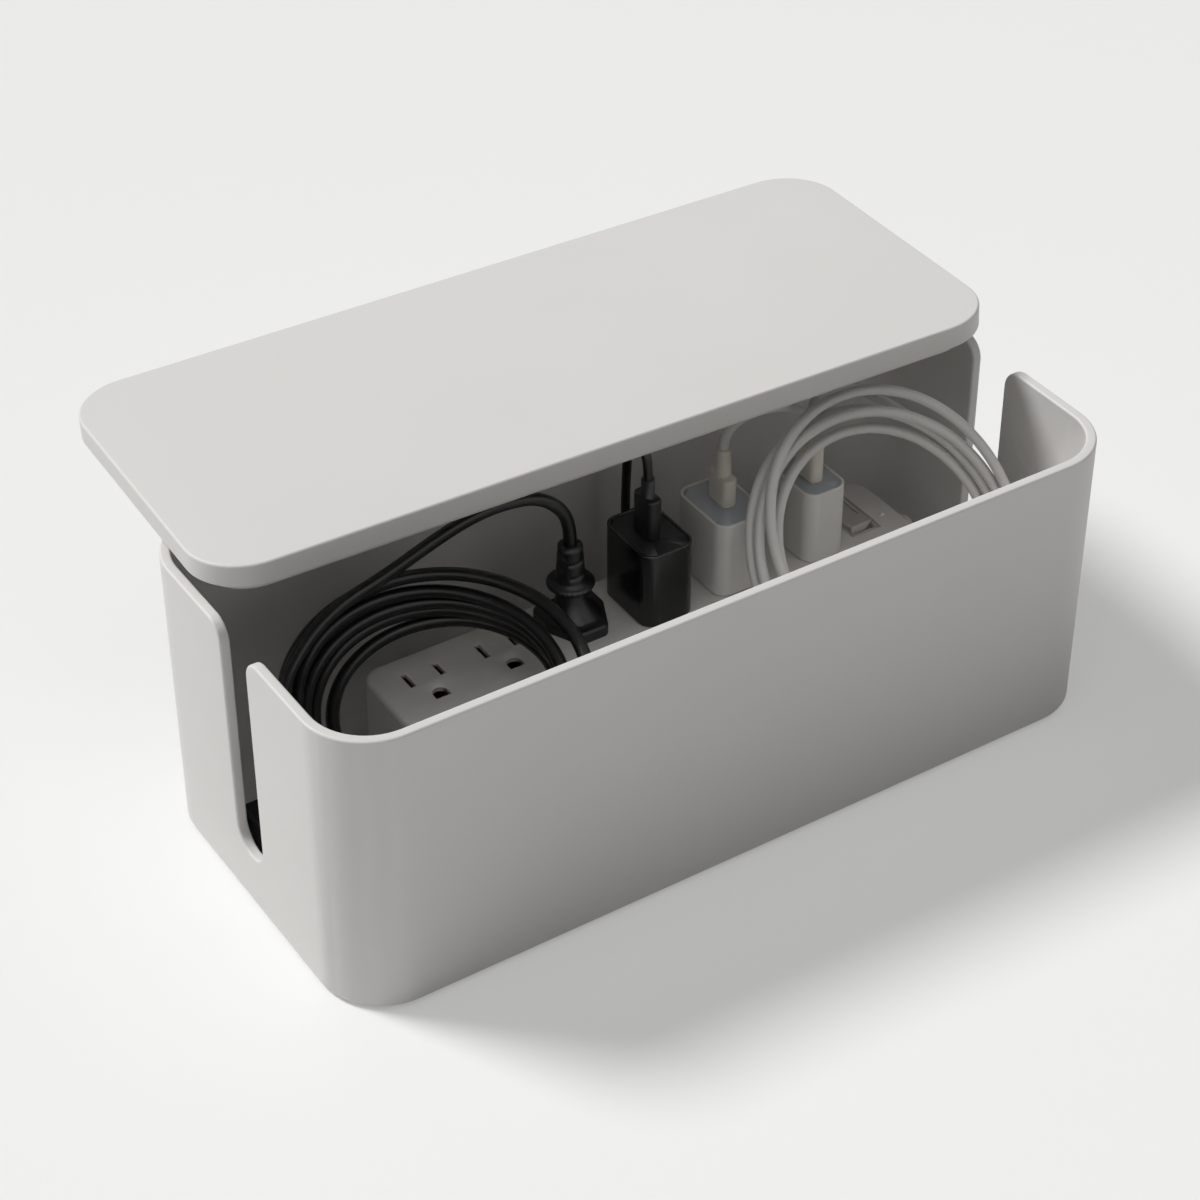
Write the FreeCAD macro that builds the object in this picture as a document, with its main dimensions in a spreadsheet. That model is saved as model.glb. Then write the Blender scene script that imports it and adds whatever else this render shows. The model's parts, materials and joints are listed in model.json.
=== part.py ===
import FreeCAD, Part
import math
import os
import re

import Sketcher
from FreeCAD import Placement, Rotation, Vector

# Cable management box, loaded with a power strip, three chargers and their leads.
# Millimetres. X along the box, Y to the back, Z up, origin at the middle of the underside.

SIZES = {
    # box shell
    "box_length": 320.0,
    "box_width": 144.0,
    "box_height": 116.5,
    "box_corner": 25.0,
    "box_wall": 4.0,
    "box_floor": 3.0,
    "rim_round": 0.9,
    "base_round": 1.6,
    "slot_width": 18.0,
    "slot_bottom": 22.5,
    "slot_mouth_round": 8.0,
    # rubber feet
    "foot_radius": 6.0,
    "foot_drop": 1.0,
    "foot_recess": 0.8,
    "foot_inset_x": 24.0,
    "foot_inset_y": 20.0,
    "foot_bevel": 0.4,
    # lid
    "lid_length": 315.0,
    "lid_width": 137.0,
    "lid_corner": 22.5,
    "lid_thickness": 8.6,
    "lid_top_skin": 3.2,
    "lid_lip_inset": 5.5,
    "lid_lip_depth": 4.6,
    "lid_lip_wall": 3.0,
    "lid_edge_round": 1.0,
    "lid_shift_x": 2.07,
    "lid_shift_y": 70.88,
    "lid_rise": 7.81,
    "lid_turn": -3.6,
    "lid_pitch": -1.33,
    "lid_roll": -3.06,
    # power strip housing
    "strip_length": 224.0,
    "strip_width": 38.0,
    "strip_height": 44.0,
    "strip_corner": 8.0,
    "strip_edge_round": 2.2,
    "strip_wall": 2.5,
    "strip_x": 142.0,
    "strip_y": 22.0,
    "strip_seam": 27.0,
    # outlets
    "outlet_first": 20.0,
    "outlet_pitch": 31.0,
    "outlet_last_gap": 38.0,
    "blade_half_spacing": 6.35,
    "blade_line": 6.0,
    "earth_drop": 12.0,
    "blade_thickness": 1.5,
    "blade_width": 6.3,
    "blade_length": 16.0,
    "blade_bevel": 1.2,
    "earth_radius": 2.4,
    "earth_length": 19.0,
    "blade_slot_width": 2.2,
    "hot_slot_length": 6.9,
    "neutral_slot_length": 8.3,
    "earth_hole_radius": 3.0,
    "slot_bevel": 0.8,
    # bus bars and their clips
    "bus_sheet": 0.8,
    "bus_height": 5.0,
    "bus_bottom": 23.0,
    "clip_top": 40.5,
    "clip_flare": 0.9,
    "clip_flare_height": 2.5,
    "clip_clearance": 0.1,
    "clip_margin": 0.8,
    "bus_standoff": 5.5,
    "bus_overhang": 9.5,
    "rib_thickness": 1.6,
    # switch
    "switch_x": 18.8,
    "switch_y": 0.5,
    "switch_length": 24.6,
    "switch_width": 13.4,
    "switch_depth": 14.0,
    "switch_sink": 0.5,
    "switch_clearance": 0.15,
    "rocker_length": 19.2,
    "rocker_width": 9.6,
    "rocker_gap": 0.9,
    "rocker_side_gap": 0.3,
    "rocker_vee": 8.0,
    "rocker_rise": 1.35,
    "rocker_pivot_drop": 4.0,
    "rocker_below_pivot": 3.0,
    "trunnion_radius": 1.2,
    "trunnion_reach": 1.0,
    "trunnion_clearance": 0.3,
    # indicator lens
    "lens_x": 7.2,
    "lens_y": -5.6,
    "lens_length": 3.1,
    "lens_width": 1.6,
    "lens_depth": 3.2,
    "lens_clearance": 0.1,
    # cord grip at the right end of the strip
    "grip_radius": 8.0,
    "grip_tip_radius": 5.6,
    "grip_reach": 11.0,
    "grip_neck_radius": 6.6,
    "grip_collar_radius": 8.6,
    "grip_collar_thickness": 2.0,
    "grip_bore": 4.0,
    "grip_clearance": 0.15,
    # screws of the strip
    "screw_inset_x": 6.5,
    "screw_inset_y": 6.0,
    "screw_radius": 1.4,
    "screw_head_radius": 2.8,
    "screw_head_height": 1.6,
    "screw_length": 32.0,
    "screw_clearance": 0.1,
    "post_radius": 3.2,
    # chargers
    "charger_corner": 5.5,
    "charger_top_round": 0.5,
    "charger_foot_round": 0.8,
    "charger_rim": 1.2,
    "charger_sink": 0.5,
    "charger_top_sheet": 1.2,
    "prong_root": 4.0,
    "black_width": 22.0,
    "black_depth": 30.5,
    "black_height": 32.0,
    "black_shift_x": -1.5,
    "black_shift_y": -2.25,
    "black_port_x": -1.0,
    "black_port_y": -0.25,
    "white_1_width": 22.0,
    "white_1_depth": 30.5,
    "white_1_height": 32.0,
    "white_1_shift_x": 0.5,
    "white_1_shift_y": -1.25,
    "white_1_port_x": 0.5,
    "white_1_port_y": 0.75,
    "white_2_width": 18.5,
    "white_2_depth": 27.0,
    "white_2_height": 31.0,
    "white_2_shift_x": 0.25,
    "white_2_shift_y": -3.5,
    "white_2_port_x": -0.25,
    "white_2_port_y": -0.5,
    # small plugs of the charging cables
    "usb_width": 12.0,
    "usb_thickness": 6.0,
    "usb_corner": 2.4,
    "usb_round": 0.7,
    "tip_width": 8.3,
    "tip_thickness": 2.5,
    "tip_length": 6.6,
    "tip_sheet": 0.35,
    "port_clearance": 0.2,
    "black_cable": 3.5,
    "white_cable": 4.0,
    "sleeve_over": 1.4,
    "black_plug_body": 17.0,
    "black_sleeve": 7.0,
    "white_1_plug_body": 12.0,
    "white_1_sleeve": 11.5,
    "white_1_sleeve_root": 3.1,
    "white_2_plug_body": 16.0,
    "white_2_sleeve": 9.5,
    "far_plug_body": 17.0,
    "far_sleeve": 6.0,
    # mains plug
    "plug_width": 25.0,
    "plug_nose": 12.0,
    "plug_depth": 25.0,
    "plug_flange": 4.6,
    "plug_waist": 10.7,
    "plug_shoulder_radius": 9.0,
    "plug_shoulder": 2.2,
    "relief_radius": 5.6,
    "relief_tip_radius": 4.6,
    "relief_height": 15.5,
    "relief_slot": 1.3,
    "relief_pitch": 3.0,
    "relief_web": 3.0,
    "plug_y": 5.0,
    "plug_back": 8.5,
    "plug_top": 33.0,
    "plug_corner": 3.5,
    "plug_edge_round": 1.2,
    "disc_bevel": 0.8,
    "lead_diameter": 5.0,
    # appliance connector at the far end of the mains lead
    "connector_width": 28.0,
    "connector_height": 17.0,
    "connector_length": 24.0,
    "connector_round": 2.0,
    "connector_relief": 14.0,
    "connector_cut": 4.0,
    "contact_spacing": 7.0,
    "contact_rise": 2.0,
    "contact_width": 2.6,
    "contact_height": 5.0,
    "contact_depth": 17.0,
}

document = FreeCAD.newDocument("CableBox")
sheet = document.addObject("Spreadsheet::Sheet", "Sizes")
for row, (alias, number) in enumerate(SIZES.items(), start=1):
    sheet.set(f"A{row}", alias)
    sheet.set(f"B{row}", str(number))
    sheet.setAlias(f"B{row}", alias)
document.recompute()

finished = []


def formula(rule):
    """Turn a rule about sizes into an expression that reads the sheet."""
    return re.sub(r"\b([a-z][a-z0-9]*_[a-z0-9_]+)\b", r"Sizes.\1", rule)


def size(rule):
    """The number that a rule gives."""
    return float(sheet.evalExpression(formula(rule)))


def bind(thing, rules):
    """Bind each property of a thing to its rule."""
    for name, rule in rules.items():
        thing.setExpression(name, formula(rule))


def place(thing, x, y, z):
    bind(thing, {"Placement.Base.x": x, "Placement.Base.y": y, "Placement.Base.z": z})


def finish(piece, label):
    """Give a finished piece its name."""
    piece.Label = label
    finished.append(piece)
    return piece


# Sketches and the features made from them

def sketch_on(body, name, role, offset="0"):
    """A sketch on one of the body's own planes, moved along the plane's normal."""
    sketch = body.newObject("Sketcher::SketchObject", name)
    plane = [p for p in body.Origin.OriginFeatures if p.Role == role][0]
    sketch.AttachmentSupport = (plane, [""])
    sketch.MapMode = "FlatFace"
    bind(sketch, {"AttachmentOffset.Base.z": offset})
    return sketch


def tie(sketch, geometry, point, x, y):
    """Tie a point of the sketch to its place."""
    for kind, rule in (("DistanceX", x), ("DistanceY", y)):
        number = sketch.addConstraint(Sketcher.Constraint(kind, -1, 1, geometry, point, size(rule)))
        sketch.setExpression(f"Constraints[{number}]", formula(rule))


def set_radius(sketch, geometry, rule):
    number = sketch.addConstraint(Sketcher.Constraint("Radius", geometry, size(rule)))
    sketch.setExpression(f"Constraints[{number}]", formula(rule))


def polygon(sketch, corners):
    """A closed outline through corners."""
    first = sketch.GeometryCount
    spots = [Vector(size(x), size(y), 0) for x, y in corners]
    for index, spot in enumerate(spots):
        sketch.addGeometry(Part.LineSegment(spot, spots[(index + 1) % len(spots)]))
    for index, (x, y) in enumerate(corners):
        following = first + (index + 1) % len(corners)
        sketch.addConstraint(Sketcher.Constraint("Coincident", first + index, 2, following, 1))
        tie(sketch, first + index, 1, x, y)


def rectangle(sketch, x, y, length, width):
    """A rectangle about its middle."""
    right, left = f"{x} + ({length})/2", f"{x} - ({length})/2"
    back, front = f"{y} + ({width})/2", f"{y} - ({width})/2"
    polygon(sketch, [(left, front), (right, front), (right, back), (left, back)])


def rounded_rectangle(sketch, length, width, radius, x="0", y="0"):
    """A rectangle about its middle, with an arc at each corner."""
    first = sketch.GeometryCount
    middle_x, middle_y, bend = size(x), size(y), size(radius)
    reach_x = size(f"({length})/2") - bend
    reach_y = size(f"({width})/2") - bend
    quarter = math.pi / 2
    for side, (sign_x, sign_y) in enumerate(((1, -1), (1, 1), (-1, 1), (-1, -1))):
        centre = Vector(middle_x + sign_x * reach_x, middle_y + sign_y * reach_y, 0)
        before = ((-1, -1), (1, -1), (1, 1), (-1, 1))[side]
        start = Vector(middle_x + before[0] * reach_x, middle_y + before[1] * reach_y, 0)
        outward = Vector(math.cos((side - 1) * quarter), math.sin((side - 1) * quarter), 0) * bend
        sketch.addGeometry(Part.LineSegment(start + outward, centre + outward))
        circle = Part.Circle(centre, Vector(0, 0, 1), bend)
        sketch.addGeometry(Part.ArcOfCircle(circle, (side - 1) * quarter, side * quarter))
    for step in range(8):
        here, there = first + step, first + (step + 1) % 8
        sketch.addConstraint(Sketcher.Constraint("Tangent", here, 2, there, 1))
    for line in (first, first + 4):
        sketch.addConstraint(Sketcher.Constraint("Horizontal", line))
    for line in (first + 2, first + 6):
        sketch.addConstraint(Sketcher.Constraint("Vertical", line))
    for arc in (first + 1, first + 3, first + 5):
        sketch.addConstraint(Sketcher.Constraint("Equal", arc, arc + 2))
    set_radius(sketch, first + 1, radius)
    tie(sketch, first + 3, 3, f"{x} + ({length})/2 - ({radius})", f"{y} + ({width})/2 - ({radius})")
    tie(sketch, first + 7, 3, f"{x} - ({length})/2 + ({radius})", f"{y} - ({width})/2 + ({radius})")


def circle(sketch, x, y, radius):
    number = sketch.addGeometry(Part.Circle(Vector(size(x), size(y), 0), Vector(0, 0, 1), size(radius)))
    tie(sketch, number, 3, x, y)
    set_radius(sketch, number, radius)


def arch(sketch, x, y, radius, drop):
    """A half circle to the back, closed by a flat front edge."""
    first = sketch.GeometryCount
    middle, bend = Vector(size(x), size(y), 0), size(radius)
    down = Vector(0, -size(drop), 0)
    left, right = middle - Vector(bend, 0, 0), middle + Vector(bend, 0, 0)
    sketch.addGeometry(Part.ArcOfCircle(Part.Circle(middle, Vector(0, 0, 1), bend), 0, math.pi))
    sketch.addGeometry(Part.LineSegment(left, left + down))
    sketch.addGeometry(Part.LineSegment(left + down, right + down))
    sketch.addGeometry(Part.LineSegment(right + down, right))
    sketch.addConstraint(Sketcher.Constraint("Tangent", first, 2, first + 1, 1))
    sketch.addConstraint(Sketcher.Constraint("Tangent", first + 3, 2, first, 1))
    for step in (1, 2):
        sketch.addConstraint(Sketcher.Constraint("Coincident", first + step, 2, first + step + 1, 1))
    sketch.addConstraint(Sketcher.Constraint("Horizontal", first + 2))
    sketch.addConstraint(Sketcher.Constraint("Vertical", first + 1))
    sketch.addConstraint(Sketcher.Constraint("Vertical", first + 3))
    tie(sketch, first, 3, x, y)
    set_radius(sketch, first, radius)
    number = sketch.addConstraint(Sketcher.Constraint("DistanceY", first + 1, 2, first, 3, size(drop)))
    sketch.setExpression(f"Constraints[{number}]", formula(drop))


def extrude(kind, body, name, sketch, length, backwards=False, both_ways=False):
    feature = body.newObject(kind, name)
    feature.Profile = sketch
    feature.Midplane = both_ways
    feature.Reversed = backwards
    bind(feature, {"Length": length})
    document.recompute()
    return feature


def pad(body, name, sketch, length, **way):
    return extrude("PartDesign::Pad", body, name, sketch, length, **way)


def pocket(body, name, sketch, length, **way):
    return extrude("PartDesign::Pocket", body, name, sketch, length, **way)


def dress(kind, body, name, value, wanted):
    """Fillet or chamfer the edges that a test picks."""
    base = body.Tip
    edges = [f"Edge{n}" for n, edge in enumerate(base.Shape.Edges, start=1) if wanted(edge)]
    feature = body.newObject(kind, name)
    feature.Base = (base, edges)
    bind(feature, value)
    document.recompute()
    return feature


def fillet(body, name, radius, wanted):
    return dress("PartDesign::Fillet", body, name, {"Radius": radius}, wanted)


def chamfer(body, name, width, wanted):
    return dress("PartDesign::Chamfer", body, name, {"Size": width}, wanted)


def samples(edge):
    reach = edge.LastParameter - edge.FirstParameter
    return [edge.valueAt(edge.FirstParameter + reach * part) for part in (0.0, 0.3, 0.6, 1.0)]


def at_height(level):
    """A test for edges that lie flat at one height."""
    height = size(level)
    return lambda edge: all(abs(spot.z - height) < 0.01 for spot in samples(edge))


def upright(edge):
    spots = samples(edge)
    return all(math.hypot(spot.x - spots[0].x, spot.y - spots[0].y) < 0.01 for spot in spots)


def rounded_block(name, length, width, radius, height, bottom="0"):
    """A body that starts as a block with rounded corners."""
    body = document.addObject("PartDesign::Body", name)
    outline = sketch_on(body, name + "Outline", "XY_Plane", bottom)
    rounded_rectangle(outline, length, width, radius)
    pad(body, name + "Block", outline, height)
    return body


# Box shell

shell = rounded_block("Shell", "box_length", "box_width", "box_corner", "box_height")
fillet(shell, "ShellBaseRound", "base_round", at_height("0"))
hollow = sketch_on(shell, "ShellHollowOutline", "XY_Plane", "box_height")
rounded_rectangle(hollow, "box_length - 2*box_wall", "box_width - 2*box_wall", "box_corner - box_wall")
pocket(shell, "ShellHollow", hollow, "box_height - box_floor")

# A cable slot in each end, open at the top, with a round bottom
slots = sketch_on(shell, "ShellSlotOutline", "YZ_Plane")
rounded_rectangle(slots, "slot_width", "2*(box_height - slot_bottom)", "slot_width/2 - 0.001",
                  "0", "box_height")
pocket(shell, "ShellSlots", slots, "box_length + 2*box_wall", both_ways=True)


def slot_mouth(edge):
    spots = samples(edge)
    at_side = all(abs(abs(spot.y) - size("slot_width/2")) < 0.01 for spot in spots)
    return at_side and at_height("box_height")(edge)


fillet(shell, "ShellSlotMouths", "slot_mouth_round", slot_mouth)


def rim(edge):
    """Edges of the rim and of the slots, on the inside and the outside of the wall."""
    spots = samples(edge)
    across = max(abs(spot.x - spots[0].x) for spot in spots) > 0.01
    near_slot = all(abs(spot.y) < size("slot_width/2 + slot_mouth_round + 0.1") for spot in spots)
    if near_slot and all(spot.z > size("slot_bottom - 0.1") for spot in spots):
        return not across
    return at_height("box_height")(edge)


fillet(shell, "ShellRimRound", "rim_round", rim)

foot_spots = [(f"{x}*(box_length/2 - foot_inset_x)", f"{y}*(box_width/2 - foot_inset_y)")
              for x in (-1, 1) for y in (-1, 1)]
recesses = sketch_on(shell, "FootRecessOutline", "XY_Plane")
for x, y in foot_spots:
    circle(recesses, x, y, "foot_radius")
pocket(shell, "FootRecesses", recesses, "foot_recess", backwards=True)
finish(shell, "box_shell")

# Rubber feet

for number, (x, y) in enumerate(foot_spots):
    side = ("left", "right")[number // 2]
    end = ("front", "back")[number % 2]
    foot = document.addObject("PartDesign::Body", f"Foot{number}")
    disc = sketch_on(foot, f"Foot{number}Disc", "XY_Plane", "-foot_drop")
    circle(disc, "0", "0", "foot_radius")
    pad(foot, f"Foot{number}Block", disc, "foot_drop + foot_recess")
    chamfer(foot, f"Foot{number}Bevel", "foot_bevel", at_height("-foot_drop"))
    place(foot, x, y, "0")
    finish(foot, f"foot_{end}_{side}")

# Lid, hollow below, with a lip that drops inside the rim

lid = rounded_block("Lid", "lid_length", "lid_width", "lid_corner", "lid_thickness")
fillet(lid, "LidTopRound", "lid_edge_round", at_height("lid_thickness"))
fillet(lid, "LidUnderRound", "lid_edge_round/2", at_height("0"))
lip = sketch_on(lid, "LidLipOutline", "XY_Plane", "-lid_lip_depth")
rounded_rectangle(lip, "lid_length - 2*lid_lip_inset", "lid_width - 2*lid_lip_inset",
                  "lid_corner - lid_lip_inset")
pad(lid, "LidLip", lip, "lid_lip_depth + 0.5")
fillet(lid, "LidLipRound", "lid_edge_round/2", at_height("-lid_lip_depth"))
cavity = sketch_on(lid, "LidCavityOutline", "XY_Plane", "-lid_lip_depth")
rounded_rectangle(cavity, "lid_length - 2*(lid_lip_inset + lid_lip_wall)",
                  "lid_width - 2*(lid_lip_inset + lid_lip_wall)",
                  "lid_corner - lid_lip_inset - lid_lip_wall")
pocket(lid, "LidCavity", cavity, "lid_lip_depth + lid_thickness - lid_top_skin", backwards=True)
lid.Placement = Placement(Vector(), Rotation(size("lid_turn"), size("lid_pitch"), size("lid_roll")))
place(lid, "lid_shift_x", "lid_shift_y", "box_height + lid_rise")
finish(lid, "lid")

# Places that the strip's pieces share

STRIP_TOP = "box_floor + strip_height"
# The middle of the strip, measured from the right end of the box
STRIP_X = "(box_length/2 - strip_x)"
OUTLETS = [f"outlet_first + {n}*outlet_pitch - strip_length/2" for n in range(5)]
OUTLETS.append("outlet_first + 4*outlet_pitch + outlet_last_gap - strip_length/2")
SCREWS = [(f"{x}*(strip_length/2 - screw_inset_x)", f"{y}*(strip_width/2 - screw_inset_y)")
          for x in (-1, 1) for y in (-1, 1)]
INNER_LENGTH = "strip_length - 2*strip_wall"
INNER_WIDTH = "strip_width - 2*strip_wall"
INNER_CORNER = "strip_corner - strip_wall"
EARTH_LINE = "(blade_line - earth_drop)"


def seat_on_strip(body):
    place(body, STRIP_X, "strip_y", "box_floor")


def grip_hole(body, name):
    """The round hole in the right end that holds the cord grip."""
    hole = sketch_on(body, name, "YZ_Plane", "strip_length/2")
    circle(hole, "0", "strip_seam", "grip_neck_radius + grip_clearance")
    pocket(body, name + "Cut", hole, "strip_wall")


# Power strip top cover

cover = rounded_block("Cover", "strip_length", "strip_width", "strip_corner",
                      "strip_height - strip_seam", "strip_seam")
fillet(cover, "CoverRound", "strip_edge_round", at_height("strip_height"))
room = sketch_on(cover, "CoverRoomOutline", "XY_Plane", "strip_seam")
rounded_rectangle(room, INNER_LENGTH, INNER_WIDTH, INNER_CORNER)
pocket(cover, "CoverRoom", room, "strip_height - strip_seam - strip_wall", backwards=True)
posts = sketch_on(cover, "CoverPostOutline", "XY_Plane", "strip_seam")
for x, y in SCREWS:
    circle(posts, x, y, "post_radius")
pad(cover, "CoverPosts", posts, "strip_height - strip_seam - strip_wall")
threads = sketch_on(cover, "CoverScrewOutline", "XY_Plane", "strip_seam")
for x, y in SCREWS:
    circle(threads, x, y, "screw_radius + screw_clearance")
pocket(cover, "CoverScrewHoles", threads, "screw_length - strip_seam + screw_head_height + 1",
       backwards=True)
grip_hole(cover, "CoverGripHole")


def outlet_holes(name, middle):
    """Two blade slots and the earth hole of one outlet, cut through the cover."""
    holes = sketch_on(cover, name, "XY_Plane", "strip_height")
    rectangle(holes, f"{middle} - blade_half_spacing", "blade_line", "blade_slot_width",
              "neutral_slot_length")
    rectangle(holes, f"{middle} + blade_half_spacing", "blade_line", "blade_slot_width",
              "hot_slot_length")
    arch(holes, middle, EARTH_LINE, "earth_hole_radius", "earth_hole_radius*0.85")
    return holes, pocket(cover, name + "Cut", holes, "strip_wall + 0.5")


def pattern(body, name, feature, sketch, axis, copies, spacing):
    """Repeat a feature along an axis of its sketch."""
    row = body.newObject("PartDesign::LinearPattern", name)
    row.Originals = [feature]
    row.Direction = (sketch, [axis])
    row.Occurrences = copies
    bind(row, {"Length": f"{copies - 1}*({spacing})"})
    body.Tip = row
    document.recompute()
    return row


outline, outlet = outlet_holes("CoverOutlet", OUTLETS[0])
pattern(cover, "CoverOutlets", outlet, outline, "H_Axis", len(OUTLETS) - 1, "outlet_pitch")
outlet_holes("CoverEndOutlet", OUTLETS[-1])


def outlet_edge(edge):
    inside = all(abs(spot.y) < size("strip_width/2 - strip_edge_round - 2") for spot in samples(edge))
    return inside and at_height("strip_height")(edge)


chamfer(cover, "CoverOutletBevels", "slot_bevel", outlet_edge)
windows = sketch_on(cover, "CoverWindowOutline", "XY_Plane", "strip_height")
rectangle(windows, "strip_length/2 - switch_x", "switch_y", "switch_width + 2*switch_clearance",
          "switch_length + 2*switch_clearance")
rounded_rectangle(windows, "lens_length + 2*lens_clearance", "lens_width + 2*lens_clearance",
                  "lens_width/2", "strip_length/2 - lens_x", "lens_y")
pocket(cover, "CoverWindows", windows, "strip_wall + 0.5")
seat_on_strip(cover)
finish(cover, "strip_top_cover")

# Power strip base tray, with ribs that carry the bus bars

base = rounded_block("Base", "strip_length", "strip_width", "strip_corner", "strip_seam")
fillet(base, "BaseRound", "strip_edge_round/2", at_height("0"))
tray = sketch_on(base, "BaseTrayOutline", "XY_Plane", "strip_seam")
rounded_rectangle(tray, INNER_LENGTH, INNER_WIDTH, INNER_CORNER)
pocket(base, "BaseTray", tray, "strip_seam - strip_wall")
ribs = sketch_on(base, "BaseRibOutline", "XY_Plane", "strip_wall - 0.2")
for left, right in zip(OUTLETS, OUTLETS[1:]):
    rectangle(ribs, f"({left} + {right})/2", "0", "rib_thickness", INNER_WIDTH + " + 0.4")
pad(base, "BaseRibs", ribs, "bus_bottom - strip_wall + 0.2")
bosses = sketch_on(base, "BaseBossOutline", "XY_Plane", "strip_wall - 0.2")
for x, y in SCREWS:
    circle(bosses, x, y, "post_radius")
pad(base, "BaseBosses", bosses, "strip_seam - strip_wall + 0.2")
for name, radius, depth in (("Shank", "screw_radius", "strip_seam + 1"),
                            ("Head", "screw_head_radius", "screw_head_height")):
    holes = sketch_on(base, f"Base{name}Outline", "XY_Plane")
    for x, y in SCREWS:
        circle(holes, x, y, f"{radius} + screw_clearance")
    pocket(base, f"Base{name}Holes", holes, depth, backwards=True)
grip_hole(base, "BaseGripHole")
seat_on_strip(base)
finish(base, "strip_base")

# Bus bars: one bent strip of sheet each, with a flared spring clip under every outlet


def clip_profile(middle, half_gap):
    """Half outlines of a U clip with flared lips, as corners in X and Z."""
    inner, outer = half_gap, f"{half_gap} + bus_sheet"
    neck = "clip_top - clip_flare_height"
    right = [(outer, "bus_bottom"), (outer, neck), (f"{outer} + clip_flare", "clip_top"),
             (f"{inner} + clip_flare", "clip_top"), (inner, neck), (inner, "bus_bottom + bus_sheet")]
    left = [(f"-({x})", z) for x, z in reversed(right)]
    return [(f"{middle} + {x}", z) for x, z in right + left]


def make_bus(label, shift_x, line, bar_y, clip_back, clip_length, half_gap):
    """A bar along X, and clips that reach from it under the outlets."""
    name = label.title().replace("_", "")
    bus = document.addObject("PartDesign::Body", name)
    section = sketch_on(bus, name + "Section", "YZ_Plane", f"{OUTLETS[0]} - bus_overhang")
    rectangle(section, bar_y, "bus_bottom + bus_height/2", "bus_sheet", "bus_height")
    pad(bus, name + "Bar", section, f"{OUTLETS[-1]} - ({OUTLETS[0]}) + 2*bus_overhang")
    profile = sketch_on(bus, name + "Clip", "XZ_Plane", f"-({clip_back})")
    polygon(profile, clip_profile(f"{OUTLETS[0]} + {shift_x}", half_gap))
    clip = pad(bus, name + "FirstClip", profile, clip_length)
    pattern(bus, name + "Clips", clip, profile, "H_Axis", len(OUTLETS) - 1, "outlet_pitch")
    last = sketch_on(bus, name + "EndClip", "XZ_Plane", f"-({clip_back})")
    polygon(last, clip_profile(f"{OUTLETS[-1]} + {shift_x}", half_gap))
    pad(bus, name + "LastClip", last, clip_length)
    seat_on_strip(bus)
    finish(bus, label)


BLADE_REACH = "blade_width/2 + clip_margin"
make_bus("line_bus", "blade_half_spacing", "blade_line", "blade_line + bus_standoff + bus_sheet/2",
         "blade_line + bus_standoff", f"bus_standoff + {BLADE_REACH}",
         "(blade_thickness/2 + clip_clearance)")
make_bus("neutral_bus", "-blade_half_spacing", "blade_line", "blade_line - bus_standoff - bus_sheet/2",
         f"blade_line + {BLADE_REACH}", f"bus_standoff + {BLADE_REACH}",
         "(blade_thickness/2 + clip_clearance)")
make_bus("earth_bus", "0", EARTH_LINE, f"{EARTH_LINE} - bus_standoff - bus_sheet/2",
         f"{EARTH_LINE} + earth_radius + clip_margin", "bus_standoff + earth_radius + clip_margin",
         "(earth_radius + clip_clearance)")

# Rocker switch

SWITCH_X = f"{STRIP_X} + strip_length/2 - switch_x"
SWITCH_Y = "strip_y + switch_y"
SWITCH_TOP = f"{STRIP_TOP} - switch_sink"
WELL_LENGTH = "rocker_length + 2*rocker_gap"
switch = rounded_block("Switch", "switch_width", "switch_length", "rocker_gap", "switch_depth",
                       "-switch_depth")
well = sketch_on(switch, "SwitchWellOutline", "XY_Plane")
rectangle(well, "0", "0", "rocker_width + 2*rocker_side_gap", WELL_LENGTH)
pocket(switch, "SwitchWell", well, "rocker_pivot_drop + rocker_below_pivot + rocker_rise + 1")
bearing = sketch_on(switch, "SwitchBearingOutline", "YZ_Plane")
circle(bearing, "0", "-rocker_pivot_drop", "trunnion_radius + trunnion_clearance")
pocket(switch, "SwitchBearings", bearing, "2*switch_width", both_ways=True)
place(switch, SWITCH_X, SWITCH_Y, SWITCH_TOP)
finish(switch, "switch_body")

rocker = document.addObject("PartDesign::Body", "Rocker")
profile = sketch_on(rocker, "RockerProfile", "YZ_Plane")
polygon(profile, [("-rocker_length/2", "-rocker_below_pivot"),
                  ("rocker_length/2", "-rocker_below_pivot"),
                  ("rocker_length/2", "rocker_pivot_drop + rocker_rise"),
                  ("0", "rocker_pivot_drop"),
                  ("-rocker_length/2", "rocker_pivot_drop + rocker_rise")])
pad(rocker, "RockerBlock", profile, "rocker_width", both_ways=True)


def rocker_top(edge):
    return all(spot.z > size("rocker_pivot_drop") - 0.01 for spot in samples(edge)) and edge.Length > 5 \
        and not all(abs(spot.y) < 0.01 for spot in samples(edge))


fillet(rocker, "RockerRound", "rocker_side_gap", rocker_top)
trunnion = sketch_on(rocker, "RockerTrunnion", "YZ_Plane")
circle(trunnion, "0", "0", "trunnion_radius")
pad(rocker, "RockerTrunnions", trunnion, "rocker_width + 2*(rocker_side_gap + trunnion_reach)",
    both_ways=True)
rocker.Placement = Placement(Vector(), Rotation(Vector(1, 0, 0), -size("rocker_vee")))
place(rocker, SWITCH_X, SWITCH_Y, f"{SWITCH_TOP} - rocker_pivot_drop")
finish(rocker, "switch_rocker")

# Indicator lens, pressed into the cover

lens = rounded_block("Lens", "lens_length", "lens_width", "lens_width/2 - 0.05", "lens_depth",
                     "-lens_depth")
place(lens, f"{STRIP_X} + strip_length/2 - lens_x", "strip_y + lens_y", STRIP_TOP)
finish(lens, "indicator_lens")

# Cord grip, clamped between cover and base

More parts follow.
